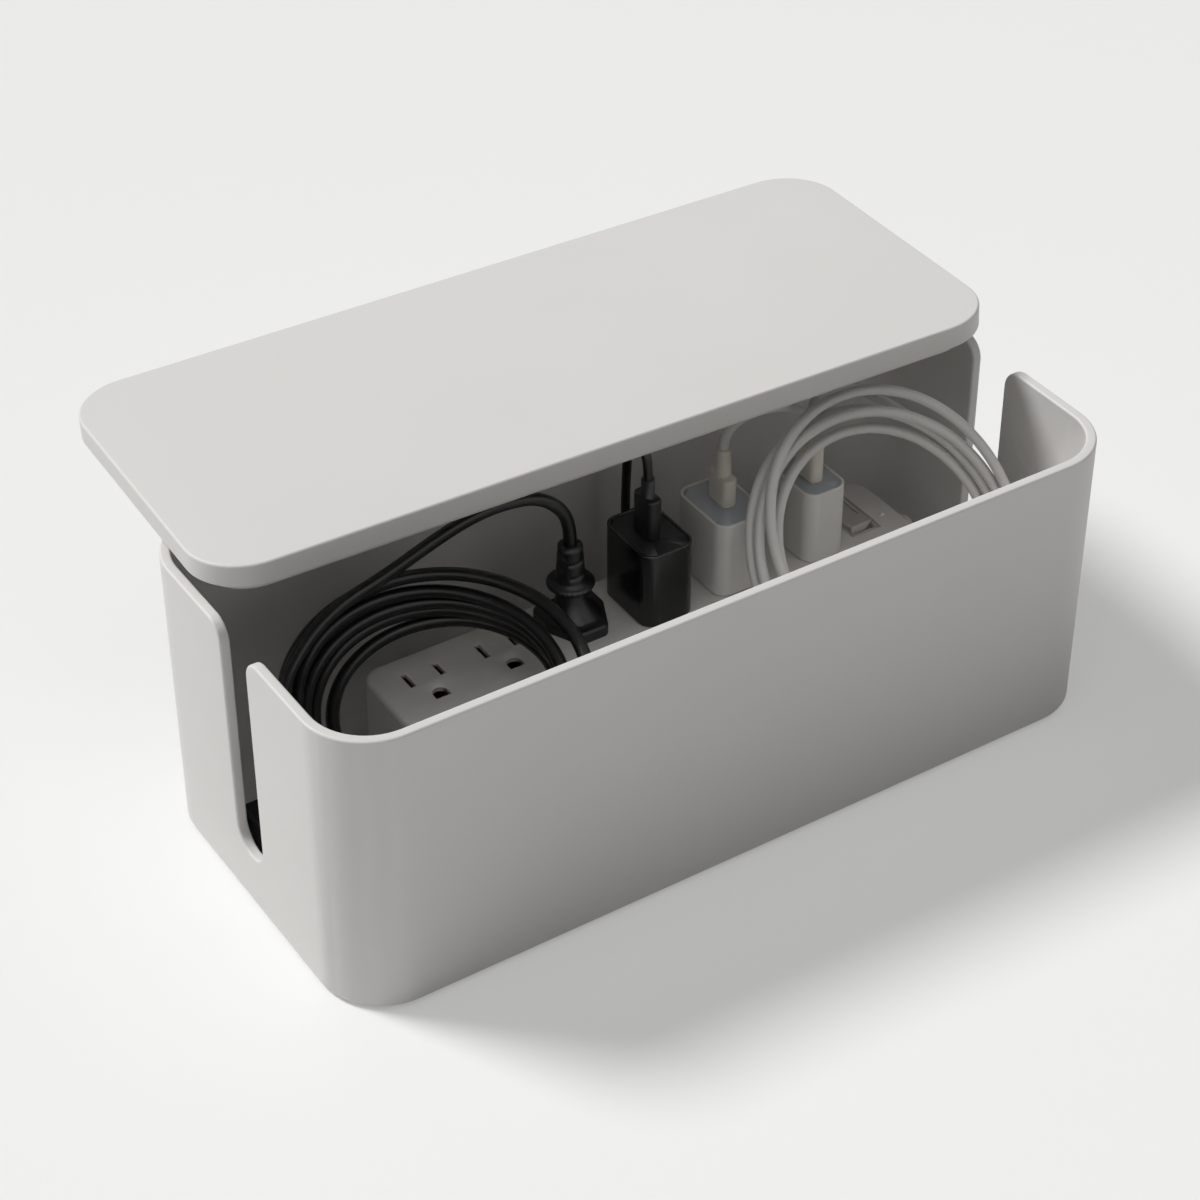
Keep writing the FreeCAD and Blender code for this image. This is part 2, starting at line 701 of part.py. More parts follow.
grip = document.addObject("PartDesign::Body", "Grip")
turning = sketch_on(grip, "GripProfile", "XY_Plane")
polygon(turning, [("-strip_wall - grip_collar_thickness", "grip_bore"),
                  ("-strip_wall - grip_collar_thickness", "grip_collar_radius"),
                  ("-strip_wall", "grip_collar_radius"),
                  ("-strip_wall", "grip_neck_radius"),
                  ("0", "grip_neck_radius"),
                  ("0", "grip_radius"),
                  ("grip_reach*0.6", "grip_radius"),
                  ("grip_reach", "grip_tip_radius"),
                  ("grip_reach", "grip_bore")])
turned = grip.newObject("PartDesign::Revolution", "GripTurned")
turned.Profile = turning
turned.ReferenceAxis = (turning, ["H_Axis"])
turned.Angle = 360.0
document.recompute()


def grip_shoulder(edge):
    spots = samples(edge)
    far = all(spot.x > size("grip_reach*0.6") - 0.01 for spot in spots)
    wide = all(math.hypot(spot.y, spot.z) > size("grip_tip_radius") - 0.01 for spot in spots)
    return far and wide and edge.Closed


fillet(grip, "GripRound", "grip_clearance*8", grip_shoulder)
place(grip, f"{STRIP_X} + strip_length/2", "strip_y", "box_floor + strip_seam")
finish(grip, "strip_cord_grip")

# Screws that hold the strip together, from below


def cylinder(name, radius, height, x, y, z):
    solid = document.addObject("Part::Cylinder", name)
    bind(solid, {"Radius": radius, "Height": height})
    place(solid, x, y, z)
    return solid



def fuse(name, solids):
    union = document.addObject("Part::MultiFuse", name)
    union.Shapes = solids
    document.recompute()
    return union


screw_parts = []
for number, (x, y) in enumerate(SCREWS):
    for name, radius, length in (("Head", "screw_head_radius", "screw_head_height"),
                                 ("Shank", "screw_radius", "screw_length")):
        screw_parts.append(cylinder(f"Screw{name}{number}", radius, length, f"{STRIP_X} + {x}",
                                    f"strip_y + {y}", "box_floor"))
finish(fuse("Screws", screw_parts), "strip_screws")


# Prongs: flat blades, and a round earth pin where the plug has one


def prongs(label, outlet, with_earth):
    """The pins of one plug, from their rooted tops down into the outlet."""
    name = label.title().replace("_", "")
    pins = document.addObject("PartDesign::Body", name)
    side = sketch_on(pins, name + "Side", "YZ_Plane", "-blade_half_spacing - blade_thickness/2")
    front, back = "blade_line - blade_width/2", "blade_line + blade_width/2"
    polygon(side, [(f"{front} + blade_bevel", "-blade_length"), (f"{back} - blade_bevel", "-blade_length"),
                   (back, "-blade_length + blade_bevel"), (back, "prong_root"),
                   (front, "prong_root"), (front, "-blade_length + blade_bevel")])
    blade = pad(pins, name + "Blade", side, "blade_thickness")
    pattern(pins, name + "Blades", blade, side, "N_Axis", 2, "2*blade_half_spacing")
    if with_earth:
        section = sketch_on(pins, name + "Earth", "XY_Plane", "-earth_length")
        circle(section, "0", EARTH_LINE, "earth_radius")
        pad(pins, name + "EarthPin", section, "earth_length + prong_root")
        fillet(pins, name + "EarthTip", "earth_radius*0.6", at_height("-earth_length"))
    place(pins, f"{STRIP_X} + {outlet}", "strip_y", STRIP_TOP)
    finish(pins, label)


def prong_pockets(body, name, shift_x, shift_y, with_earth):
    """Blind pockets in the foot of a plug that hold the tops of its prongs."""
    roots = sketch_on(body, name, "XY_Plane")
    for way in ("-", "+"):
        rectangle(roots, f"{way} blade_half_spacing - ({shift_x})", f"blade_line - ({shift_y})",
                  "blade_thickness", "blade_width")
    if with_earth:
        circle(roots, f"-({shift_x})", f"{EARTH_LINE} - ({shift_y})", "earth_radius")
    pocket(body, name + "Cut", roots, "prong_root", backwards=True)


# Chargers: a case with a raised rim, a plate let into the top, and the prongs


def port_outline(body, name, port_x, port_y, level):
    """The outline of a charging port."""
    outline = sketch_on(body, name, "XY_Plane", level)
    rounded_rectangle(outline, "tip_thickness + 2*port_clearance", "tip_width + 2*port_clearance",
                      "tip_thickness/2", port_x, port_y)
    return outline


def charger(kind, outlet):
    """A charger of one kind in its outlet."""
    name = kind.title().replace("_", "")
    tall = f"{kind}_height"
    seat = f"{tall} - charger_sink - charger_top_sheet"
    spot = (f"{STRIP_X} + {outlet} + {kind}_shift_x", f"strip_y + {kind}_shift_y", STRIP_TOP)
    case = rounded_block(name + "Case", f"{kind}_width", f"{kind}_depth", "charger_corner", tall)
    fillet(case, name + "FootRound", "charger_foot_round", at_height("0"))
    recess = sketch_on(case, name + "Recess", "XY_Plane", tall)
    rounded_rectangle(recess, f"{kind}_width - 2*charger_rim", f"{kind}_depth - 2*charger_rim",
                      "charger_corner - charger_rim")
    pocket(case, name + "RecessCut", recess, "charger_sink + charger_top_sheet")
    fillet(case, name + "RimRound", "charger_top_round", at_height(tall))
    port = port_outline(case, name + "Port", f"{kind}_port_x", f"{kind}_port_y", seat)
    pocket(case, name + "PortCut", port, "tip_length - charger_top_sheet + port_clearance")
    prong_pockets(case, name + "Roots", f"{kind}_shift_x", f"{kind}_shift_y", False)
    place(case, *spot)
    finish(case, f"{kind}_charger_case")

    plate = rounded_block(name + "Top", f"{kind}_width - 2*charger_rim",
                          f"{kind}_depth - 2*charger_rim", "charger_corner - charger_rim",
                          "charger_top_sheet", seat)
    mouth = port_outline(plate, name + "Mouth", f"{kind}_port_x", f"{kind}_port_y",
                         f"{seat} + charger_top_sheet")
    pocket(plate, name + "MouthCut", mouth, "charger_top_sheet + 1")
    place(plate, *spot)
    finish(plate, f"{kind}_charger_top")
    prongs(f"{kind}_charger_pins", outlet, False)


CHARGERS = dict(zip(("black", "white_1", "white_2"), OUTLETS[3:]))
for kind, outlet in CHARGERS.items():
    charger(kind, outlet)

# Small plugs of the charging cables: an overmould with its sleeve, and a metal tip


def small_plug(label, length, sleeve, root_radius, cable, spot, turn):
    """A plug that points down before it is turned, with its cable at the top."""
    name = label.title().replace("_", "")
    grip = rounded_block(name + "Grip", "usb_thickness", "usb_width", "usb_corner", length)
    fillet(grip, name + "GripRound", "usb_round", lambda edge: at_height("0")(edge) or at_height(length)(edge))
    profile = sketch_on(grip, name + "Sleeve", "XZ_Plane")
    polygon(profile, [("0", f"{length} - 1"), (root_radius, f"{length} - 1"), (root_radius, length),
                      (f"{cable}/2 + sleeve_over/2", f"{length} + {sleeve}"), ("0", f"{length} + {sleeve}")])
    sleeve_turned = grip.newObject("PartDesign::Revolution", name + "SleeveTurned")
    sleeve_turned.Profile = profile
    sleeve_turned.ReferenceAxis = (profile, ["V_Axis"])
    sleeve_turned.Angle = 360.0
    document.recompute()
    tip = rounded_block(name + "Tip", "tip_thickness", "tip_width", "tip_thickness/2 - 0.05",
                        "tip_length", "-tip_length")
    mouth = sketch_on(tip, name + "TipMouth", "XY_Plane", "-tip_length")
    rounded_rectangle(mouth, "tip_thickness - 2*tip_sheet", "tip_width - 2*tip_sheet",
                      "tip_thickness/2 - tip_sheet - 0.05")
    pocket(tip, name + "TipBore", mouth, "tip_length - 2*tip_sheet", backwards=True)
    for body in (grip, tip):
        body.Placement = Placement(Vector(), turn)
        place(body, *spot)
    finish(grip, label)
    finish(tip, f"{label}_tip")


UPRIGHT = Rotation()
TO_RIGHT = Rotation(Vector(0, 1, 0), -90)
TO_BACK = Rotation(Vector(1, 0, 0), 90) * Rotation(Vector(0, 0, 1), 90)
LYING = "box_floor + usb_thickness/2"
for kind, outlet in CHARGERS.items():
    cable = "black_cable" if kind == "black" else "white_cable"
    root = "white_1_sleeve_root" if kind == "white_1" else f"{cable}/2 + sleeve_over/2"
    small_plug(f"{kind}_plug", f"{kind}_plug_body", f"{kind}_sleeve", root, cable,
               (f"{STRIP_X} + {outlet} + {kind}_shift_x + {kind}_port_x",
                f"strip_y + {kind}_shift_y + {kind}_port_y",
                f"{STRIP_TOP} + {kind}_height - charger_sink"), UPRIGHT)
FAR_REACH = "far_sleeve + far_plug_body"
FAR_PLUGS = {"black": ((46.0, 55.0), "x", TO_RIGHT), "white_1": ((122.0, -49.0), "x", TO_RIGHT),
             "white_2": ((148.0, -8.0), "y", TO_BACK)}
for kind, ((end_x, end_y), way, turn) in FAR_PLUGS.items():
    cable = "black_cable" if kind == "black" else "white_cable"
    spot = (f"{end_x} + {FAR_REACH}", f"{end_y}") if way == "x" else (f"{end_x}", f"{end_y} + {FAR_REACH}")
    small_plug(f"{kind}_far_plug", "far_plug_body", "far_sleeve", f"{cable}/2 + sleeve_over/2", cable,
               (*spot, LYING), turn)

# Mains plug: flange, drawn-in neck, shoulder disc and a notched strain relief

SHOULDER_TOP = "plug_top - relief_height"
mains = document.addObject("PartDesign::Body", "MainsPlug")
flange = sketch_on(mains, "MainsPlugFlangeOutline", "XY_Plane")
polygon(flange, [("-plug_width/2", "plug_back"), ("-plug_width/2", "plug_back - plug_depth*0.45"),
                 ("-plug_nose/2", "plug_back - plug_depth"), ("plug_nose/2", "plug_back - plug_depth"),
                 ("plug_width/2", "plug_back - plug_depth*0.45"), ("plug_width/2", "plug_back")])
pad(mains, "MainsPlugFlange", flange, "plug_flange")
fillet(mains, "MainsPlugCorners", "plug_corner", upright)
fillet(mains, "MainsPlugEdge", "plug_edge_round", at_height("plug_flange"))
sections = []
for number, (level, length, width, back) in enumerate((
        ("plug_flange - 0.5", "plug_width*0.8", "plug_depth*0.72", "-plug_y*0.8"),
        ("plug_flange + 2.5", "plug_waist*1.25", "plug_waist*1.35", "-plug_y*0.35"),
        (f"{SHOULDER_TOP} - plug_shoulder - 2", "plug_waist", "plug_waist", "0"),
        (f"{SHOULDER_TOP} - plug_shoulder + 0.2", "plug_waist*1.15", "plug_waist*1.15", "0"))):
    section = sketch_on(mains, f"MainsPlugNeck{number}", "XY_Plane", level)
    rounded_rectangle(section, length, width, f"({length})*0.42", "0", back)
    sections.append(section)
neck = mains.newObject("PartDesign::AdditiveLoft", "MainsPlugNeck")
neck.Profile = sections[0]
neck.Sections = sections[1:]
document.recompute()
turning = sketch_on(mains, "MainsPlugTurning", "YZ_Plane")
polygon(turning, [("0", f"{SHOULDER_TOP} - plug_shoulder"),
                  ("plug_shoulder_radius - disc_bevel", f"{SHOULDER_TOP} - plug_shoulder"),
                  ("plug_shoulder_radius", f"{SHOULDER_TOP} - plug_shoulder + disc_bevel"),
                  ("plug_shoulder_radius", f"{SHOULDER_TOP} - disc_bevel"),
                  ("plug_shoulder_radius - disc_bevel", SHOULDER_TOP),
                  ("relief_radius", SHOULDER_TOP),
                  ("relief_tip_radius", "plug_top"),
                  ("0", "plug_top")])
turned = mains.newObject("PartDesign::Revolution", "MainsPlugTurned")
turned.Profile = turning
turned.ReferenceAxis = (turning, ["V_Axis"])
turned.Angle = 360.0
document.recompute()
for name, first_level, across in (("Side", "relief_pitch*2", True), ("Front", "relief_pitch", False)):
    notch = sketch_on(mains, f"MainsPlug{name}Notch", "XY_Plane", f"{SHOULDER_TOP} + {first_level}")
    for way in ("-", "+"):
        middle = f"{way} (relief_web/2 + relief_radius)"
        if across:
            rectangle(notch, middle, "0", "2*relief_radius", "2*relief_web")
        else:
            rectangle(notch, "0", middle, "2*relief_web", "2*relief_radius")
    cut = pocket(mains, f"MainsPlug{name}NotchCut", notch, "relief_slot", backwards=True)
    pattern(mains, f"MainsPlug{name}Notches", cut, notch, "N_Axis", 2, "2*relief_pitch")
prong_pockets(mains, "MainsPlugRoots", "0", "plug_y", True)
place(mains, f"{STRIP_X} + {OUTLETS[2]}", "strip_y + plug_y", STRIP_TOP)
finish(mains, "mains_plug_body")
prongs("mains_plug_pins", OUTLETS[2], True)

# Appliance connector at the far end of the mains lead, with a tapered relief

connector = document.addObject("PartDesign::Body", "Connector")
face = sketch_on(connector, "ConnectorFace", "XZ_Plane")
low, high = "-connector_height/2", "connector_height/2"
polygon(face, [("-connector_width/2", low), ("connector_width/2", low),
               ("connector_width/2", f"{high} - connector_cut"), ("connector_width/2 - connector_cut", high),
               ("-connector_width/2 + connector_cut", high), ("-connector_width/2", f"{high} - connector_cut")])
pad(connector, "ConnectorBlock", face, "connector_length", backwards=True)
fillet(connector, "ConnectorEdges", "connector_round", lambda edge: abs(samples(edge)[0].y - samples(edge)[3].y) > 1)
contacts = sketch_on(connector, "ConnectorContacts", "XZ_Plane", "-connector_length")
for x, z in (("-contact_spacing", "-contact_rise"), ("0", "contact_rise"), ("contact_spacing", "-contact_rise")):
    rectangle(contacts, x, z, "contact_width", "contact_height")
pocket(connector, "ConnectorContactHoles", contacts, "contact_depth")
cone = sketch_on(connector, "ConnectorRelief", "XY_Plane")
polygon(cone, [("0", "1"), ("relief_radius + 1.4", "1"), ("relief_radius + 1.4", "0"),
               ("relief_tip_radius - 0.6", "-connector_relief"), ("0", "-connector_relief")])
relief = connector.newObject("PartDesign::Revolution", "ConnectorReliefTurned")
relief.Profile = cone
relief.ReferenceAxis = (cone, ["V_Axis"])
relief.Angle = 360.0
document.recompute()
place(connector, "-139.5", "4", "box_floor + connector_height/2")
finish(connector, "mains_lead_connector")

# Free stretches of the leads: straight runs joined by arcs as large as the runs allow


def tube(label, diameter, edges, start, heading):
    """Sweep a round section along a path, and keep it as a piece."""
    path = Part.Wire(edges)
    ring = Part.Wire([Part.Circle(start, heading, diameter / 2).toShape()])
    solid = path.makePipeShell([ring], True, False)
    expected = path.Length * math.pi * diameter ** 2 / 4
    print(f"{label}: length {path.Length:.1f}, volume over section times length {solid.Volume / expected:.4f}")
    piece = document.addObject("Part::Feature", label.title().replace("_", ""))
    piece.Shape = solid
    finish(piece, label)


def unit(vector):
    return vector * (1 / vector.Length)


def stretch(label, diameter, points):
    """A free stretch of a lead through its chosen points."""
    spots = [Vector(*point) for point in points]
    edges, radii, here = [], [], spots[0]
    for before, corner, after in zip(spots, spots[1:], spots[2:]):
        inward, outward = unit(corner - before), unit(after - corner)
        reach = 0.45 * min((corner - before).Length, (after - corner).Length)
        half_turn = inward.getAngle(outward) / 2
        radius = reach / math.tan(half_turn)
        first, last = corner - inward * reach, corner + outward * reach
        crown = corner + unit(outward - inward) * (radius / math.cos(half_turn) - radius)
        edges += [Part.LineSegment(here, first).toShape(), Part.Arc(first, crown, last).toShape()]
        radii.append(radius)
        here = last
    edges.append(Part.LineSegment(here, spots[-1]).toShape())
    print(f"{label}: radii", " ".join(f"{radius:.0f}" for radius in radii))
    tube(label, diameter, edges, spots[0], spots[1] - spots[0])


# Coils: loops that differ a little, each drawn by two arcs to a step


class Coil:
    """A coil whose loops lie on tilted ellipses and climb from one to the next."""

    def __init__(self, centre, normal, across, loops, first, last):
        self.centre = Vector(*centre)
        self.normal = unit(Vector(*normal))
        self.across = unit(Vector(*across) - self.normal * Vector(*across).dot(self.normal))
        self.along = self.normal.cross(self.across)
        self.loops = loops
        self.first = first
        self.last = last

    def loop_values(self, angle):
        """Middle, half width, half depth, tilt and height, blended where loops change."""
        progress = (angle + 90) / 360 + 0.17
        number = int(progress)
        share = min((progress - number) / 0.34, 1)
        share = share * share * (3 - 2 * share)
        rows = [self.loops[min(max(row, 0), len(self.loops) - 1)] for row in (number - 1, number)]
        return [old + (new - old) * share for old, new in zip(*rows)]

    def point(self, angle):
        middle_x, middle_y, half_x, half_y, tilt, height = self.loop_values(angle)
        turn, lean = math.radians(angle), math.radians(tilt)
        x, y = half_x * math.cos(turn), half_y * math.sin(turn)
        x, y = x * math.cos(lean) - y * math.sin(lean), x * math.sin(lean) + y * math.cos(lean)
        flat = self.across * (middle_x + x) + self.along * (middle_y + y)
        return self.centre + flat + self.normal * height

    def heading(self, angle):
        return unit(self.point(angle + 1) - self.point(angle - 1))

    def lead_in(self, diameter, run):
        """Two points that lead straight into the coil."""
        way = self.heading(self.first)
        return [self.point(self.first) - way * (diameter + run), self.point(self.first) - way * diameter]

    def lead_out(self, diameter, run):
        """Two points that lead straight out of the coil."""
        way = self.heading(self.last)
        return [self.point(self.last) + way * diameter, self.point(self.last) + way * (diameter + run)]


def biarc(start, way_in, end, way_out):
    """Two arcs that join two points with given headings."""
    chord, both = end - start, way_in + way_out
    lead, square = chord.dot(both), 2 * (1 - way_in.dot(way_out))
    reach = (math.sqrt(lead ** 2 + square * chord.dot(chord)) - lead) / square
    corners = start + way_in * reach, end - way_out * reach
    joint = (corners[0] + corners[1]) * 0.5
    arcs = []
    for near, corner, far in ((start, corners[0], joint), (joint, corners[1], end)):
        middle = (near + far) * 0.5
        cosine = (far - near).Length / 2 / reach
        crown = middle + (corner - middle) * (cosine / (1 + cosine))
        arcs.append(Part.Arc(near, crown, far).toShape())
    return arcs


def least_gap(edges, diameter):
    """The least gap between turns, measured on points along the path."""
    spots, travelled = [], 0.0
    for edge in edges:
        count = max(2, int(edge.Length / 1.5))
        reach = edge.LastParameter - edge.FirstParameter
        for step in range(count):
            spots.append((travelled + edge.Length * step / count,
                          edge.valueAt(edge.FirstParameter + reach * step / count)))
        travelled += edge.Length
    gaps = [(here - there).Length for number, (near, here) in enumerate(spots)
            for far, there in spots[number:] if far - near > 8 * diameter]
    return min(gaps) - diameter


def wind(label, diameter, coil):
    """A coil as one unbroken tube, with a straight diameter at each end."""
    steps = math.ceil((coil.last - coil.first) / 90)
    angles = [coil.first + (coil.last - coil.first) * step / steps for step in range(steps + 1)]
    start, finish_point = coil.lead_in(diameter, 0)[1], coil.lead_out(diameter, 0)[0]
    edges = [Part.LineSegment(start, coil.point(coil.first)).toShape()]
    for now, later in zip(angles, angles[1:]):
        edges += biarc(coil.point(now), coil.heading(now), coil.point(later), coil.heading(later))
    edges.append(Part.LineSegment(coil.point(coil.last), finish_point).toShape())
    print(f"{label}: least gap between turns {least_gap(edges, diameter):.2f}")
    tube(label, diameter, edges, start, coil.heading(coil.first))


LEAD, BLACK, WHITE = size("lead_diameter"), size("black_cable"), size("white_cable")

# Each loop: middle across and along, half width, half depth, tilt, height
mains_coil = Coil((-83, -1, 60), (-0.15, -0.12, 0.98), (1, 0, 0.15),
                  [(-5.5, -4.7, 54.5, 56.0, 0, 17.2), (-3.8, -4.7, 52.8, 54.7, 0, 11.5),
                   (-4.5, -1.6, 46.1, 50.2, 0, 5.8), (-2.9, 0.0, 45.2, 47.1, 0, 0.0),
                   (-0.8, -1.7, 44.6, 49.9, 0, -5.8), (3.4, 4.1, 40.8, 41.2, 0, -11.6)],
                  125, 2025)
white_coil = Coil((94, -23, 68), (-0.1097, -0.7803, 0.6157), (0.99, -0.139, 0),
                  [(0.0, -2.0, 46.0, 50.0, 24, -9.8), (2.4, -0.9, 42.0, 46.5, 27, -5.2),
                   (-2.8, -3.6, 50.5, 56.8, 20, -0.6), (-1.8, -2.0, 50.3, 53.0, 27, 4.0),
                   (1.1, 4.4, 48.0, 54.2, 19, 8.6)],
                  100, 1640)
wind("mains_lead_coil", LEAD, mains_coil)
wind("white_1_cable_coil", WHITE, white_coil)

PLUG_END = Vector(*[piece.Placement.Base for piece in finished if piece.Label == "mains_plug_body"][0])
PLUG_END += Vector(0, 0, size("plug_top"))
stretch("mains_lead_run", LEAD, [
    PLUG_END, PLUG_END + Vector(0, 0, 8), (-15.2, 27.4, 97), (-24, 29, 104.5), (-36, 30.5, 106),
    (-48, 33, 103.5), (-61, 36.2, 97), (-81.2, 41, 85.2), (-95, 47, 81.5), *mains_coil.lead_in(LEAD, 13)])
stretch("mains_lead_tail", LEAD, [
    *mains_coil.lead_out(LEAD, 9), (-96, -47, 33), (-106, -58.5, 22), (-124, -61, 12.5),
    (-140, -54, 8.5), (-146.5, -38, 8.5), (-144, -28, 10.5), (-139.5, -19, 11.5), (-139.5, -10, 11.5)])
stretch("white_1_cable_arch", WHITE, [
    (51, 21.5, 102), (51, 21.5, 109), (56, 14.5, 119.5), (69.3, 11.5, 119.7), (82.1, 14.5, 109.9),
    (85.2, 15.7, 102.6), *white_coil.lead_in(WHITE, 6)])
stretch("white_1_cable_tail", WHITE, [
    *white_coil.lead_out(WHITE, 6), (52, -58, 33), (54, -58, 21), (60, -56, 10.5), (78, -53, 5.6),
    (92, -50, 5.1), (102, -50.6, 5.2), (114, -49, 6), (122, -49, 6)])
stretch("white_2_cable_run", WHITE, [
    (88, 18, 103), (88, 18, 109.8), (92.5, 17.6, 116), (102, 16.2, 115.5), (114, 12, 106),
    (126.5, 4, 96), (138, -6.5, 83), (144, -19, 67), (146, -28, 50), (147, -31, 32),
    (147.5, -30, 18), (148, -24.5, 9), (148, -16, 6), (148, -8, 6)])
stretch("black_cable_run", BLACK, [
    (16.5, 19.5, 102.5), (16.5, 19.5, 109.5), (16.6, 23.5, 115.5), (17, 32, 118), (18, 45, 113),
    (18.5, 54, 98), (19, 56, 75), (19.5, 55.5, 48), (20, 55, 25), (26, 55.3, 10), (37, 55, 6),
    (46, 55, 6)])

# Check every piece, then write one file for each

document.recompute()
failed = [thing.Name for thing in document.Objects if {"Invalid", "Error"} & set(thing.State)]
failed += [piece.Label for piece in finished if piece.Shape.isNull() or not piece.Shape.isValid()]
if failed:
    raise RuntimeError("These did not come out whole: " + ", ".join(failed))
os.makedirs("parts", exist_ok=True)
for piece in finished:
    piece.Shape.exportStep(f"parts/{piece.Label}.step")
print(f"{len(finished)} pieces written")
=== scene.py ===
import json
import math

import bpy
from mathutils import Matrix, Vector

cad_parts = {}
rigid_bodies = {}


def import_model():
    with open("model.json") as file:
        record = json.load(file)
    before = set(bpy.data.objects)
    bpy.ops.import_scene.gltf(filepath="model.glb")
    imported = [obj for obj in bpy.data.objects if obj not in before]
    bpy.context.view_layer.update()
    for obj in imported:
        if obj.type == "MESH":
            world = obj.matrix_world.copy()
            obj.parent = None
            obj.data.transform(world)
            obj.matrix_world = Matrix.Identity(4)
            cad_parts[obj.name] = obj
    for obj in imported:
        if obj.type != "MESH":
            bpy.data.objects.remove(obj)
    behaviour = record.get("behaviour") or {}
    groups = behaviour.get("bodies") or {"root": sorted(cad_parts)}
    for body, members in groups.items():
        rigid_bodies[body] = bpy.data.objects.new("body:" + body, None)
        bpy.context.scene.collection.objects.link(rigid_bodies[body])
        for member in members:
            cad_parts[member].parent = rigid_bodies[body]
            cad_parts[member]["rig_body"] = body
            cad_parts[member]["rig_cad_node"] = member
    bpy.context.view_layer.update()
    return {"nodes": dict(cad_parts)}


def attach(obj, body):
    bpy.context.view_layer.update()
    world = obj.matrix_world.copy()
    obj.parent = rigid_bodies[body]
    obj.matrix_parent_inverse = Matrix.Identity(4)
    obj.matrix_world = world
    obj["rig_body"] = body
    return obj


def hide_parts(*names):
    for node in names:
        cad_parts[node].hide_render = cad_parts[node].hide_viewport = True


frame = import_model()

nodes = frame["nodes"]

# Camera: a long lens above the left front corner of the box, looking down into it.
# It is placed by its turn, its height angle and its distance from a point in the box.
turn, height, roll = math.radians(-32.84), math.radians(37.42), math.radians(-0.085)
towards_camera = Vector((math.sin(turn) * math.cos(height), -math.cos(turn) * math.cos(height),
                         math.sin(height)))
sideways = (-towards_camera).cross(Vector((0, 0, 1))).normalized()
upwards = sideways.cross(-towards_camera)
camera_data = bpy.data.cameras.new("camera")
camera_data.lens = 89.615
camera_data.sensor_width = 36
camera_data.clip_end = 20
camera = bpy.data.objects.new("camera", camera_data)
bpy.context.scene.collection.objects.link(camera)
leaned_side = sideways * math.cos(roll) + upwards * math.sin(roll)
leaned_up = upwards * math.cos(roll) - sideways * math.sin(roll)
axes = Matrix((leaned_side, leaned_up, towards_camera)).transposed().to_4x4()
target = Vector((0.00185, 0.02865, 0.048))
camera.matrix_world = Matrix.Translation(target + towards_camera * 1.1043) @ axes
bpy.context.scene.camera = camera

# Mains lead: round black PVC cord, extruded over its cores and left to spring.
# The plug and the appliance connector at its ends are moulded onto it in PVC.
# From the plug it drops into its own coil, and goes on along the floor to the connector.


class Bundle:
    """Loops of one coiled lead: tilted ellipses that differ a little and climb."""

    def __init__(self, centre, normal, across, loops):
        self.centre = Vector(centre)
        self.normal = Vector(normal).normalized()
        across = Vector(across)
        self.across = (across - self.normal * across.dot(self.normal)).normalized()
        self.along = self.normal.cross(self.across)
        self.loops = loops

    def point(self, angle):
        progress = (angle + 90) / 360 + 0.17
        number = int(progress)
        share = min((progress - number) / 0.34, 1)
        share = share * share * (3 - 2 * share)
        rows = [self.loops[min(max(row, 0), len(self.loops) - 1)] for row in (number - 1, number)]
        x, y, wide, deep, lean, rise = [a + (b - a) * share for a, b in zip(*rows)]
        angle, lean = math.radians(angle), math.radians(lean)
        u, v = wide * math.cos(angle), deep * math.sin(angle)
        x += u * math.cos(lean) - v * math.sin(lean)
        y += u * math.sin(lean) + v * math.cos(lean)
        return self.centre + self.across * x + self.along * y + self.normal * rise

    def turns(self, first, last, step=15):
        count = round((last - first) / step)
        return [self.point(first + (last - first) * number / count) for number in range(count + 1)]

    def ahead(self, angle, distance):
        way = (self.point(angle + 1) - self.point(angle - 1)).normalized()
        return self.point(angle) + way * distance


def lay_cord(name, points, diameter):
    """A round cord along one smooth spline; the points are in millimetres."""
    curve = bpy.data.curves.new(name, "CURVE")
    curve.dimensions = "3D"
    spline = curve.splines.new("NURBS")
    spline.points.add(len(points) - 1)
    for spot, point in zip(spline.points, points):
        spot.co = (*(Vector(point) * 0.001), 1)
        spot.radius = diameter / 2000
    spline.order_u = 3
    spline.use_endpoint_u = True
    spline.resolution_u = 8
    curve.bevel_depth = 1.0
    curve.bevel_resolution = 5
    curve.use_fill_caps = True
    piece = bpy.data.objects.new(name, curve)
    bpy.context.scene.collection.objects.link(piece)
    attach(piece, "box")
    return piece


def linear(code):
    """An sRGB hex colour as linear values."""
    values = [int(code[i:i + 2], 16) / 255 for i in (1, 3, 5)]
    return [v / 12.92 if v <= 0.04045 else ((v + 0.055) / 1.055) ** 2.4 for v in values] + [1.0]


def add_node(material, kind, settings=None, inputs=None):
    """Add a node, set it up, and link or fill its inputs."""
    tree = material.node_tree
    node = tree.nodes.new(kind)
    for name, value in (settings or {}).items():
        setattr(node, name, value)
    for name, value in (inputs or {}).items():
        if hasattr(value, "links"):
            tree.links.new(value, node.inputs[name])
        else:
            node.inputs[name].default_value = value
    return node


def new_material(name, colour, roughness, ior, coat=0.0):
    """A dielectric surface of one colour, with its shader ready for detail."""
    material = bpy.data.materials.new(name)
    material.use_nodes = True
    shader = material.node_tree.nodes["Principled BSDF"]
    shader.inputs["Base Color"].default_value = linear(colour)
    shader.inputs["Roughness"].default_value = roughness
    shader.inputs["IOR"].default_value = ior
    shader.inputs["Coat Weight"].default_value = coat
    return material, shader


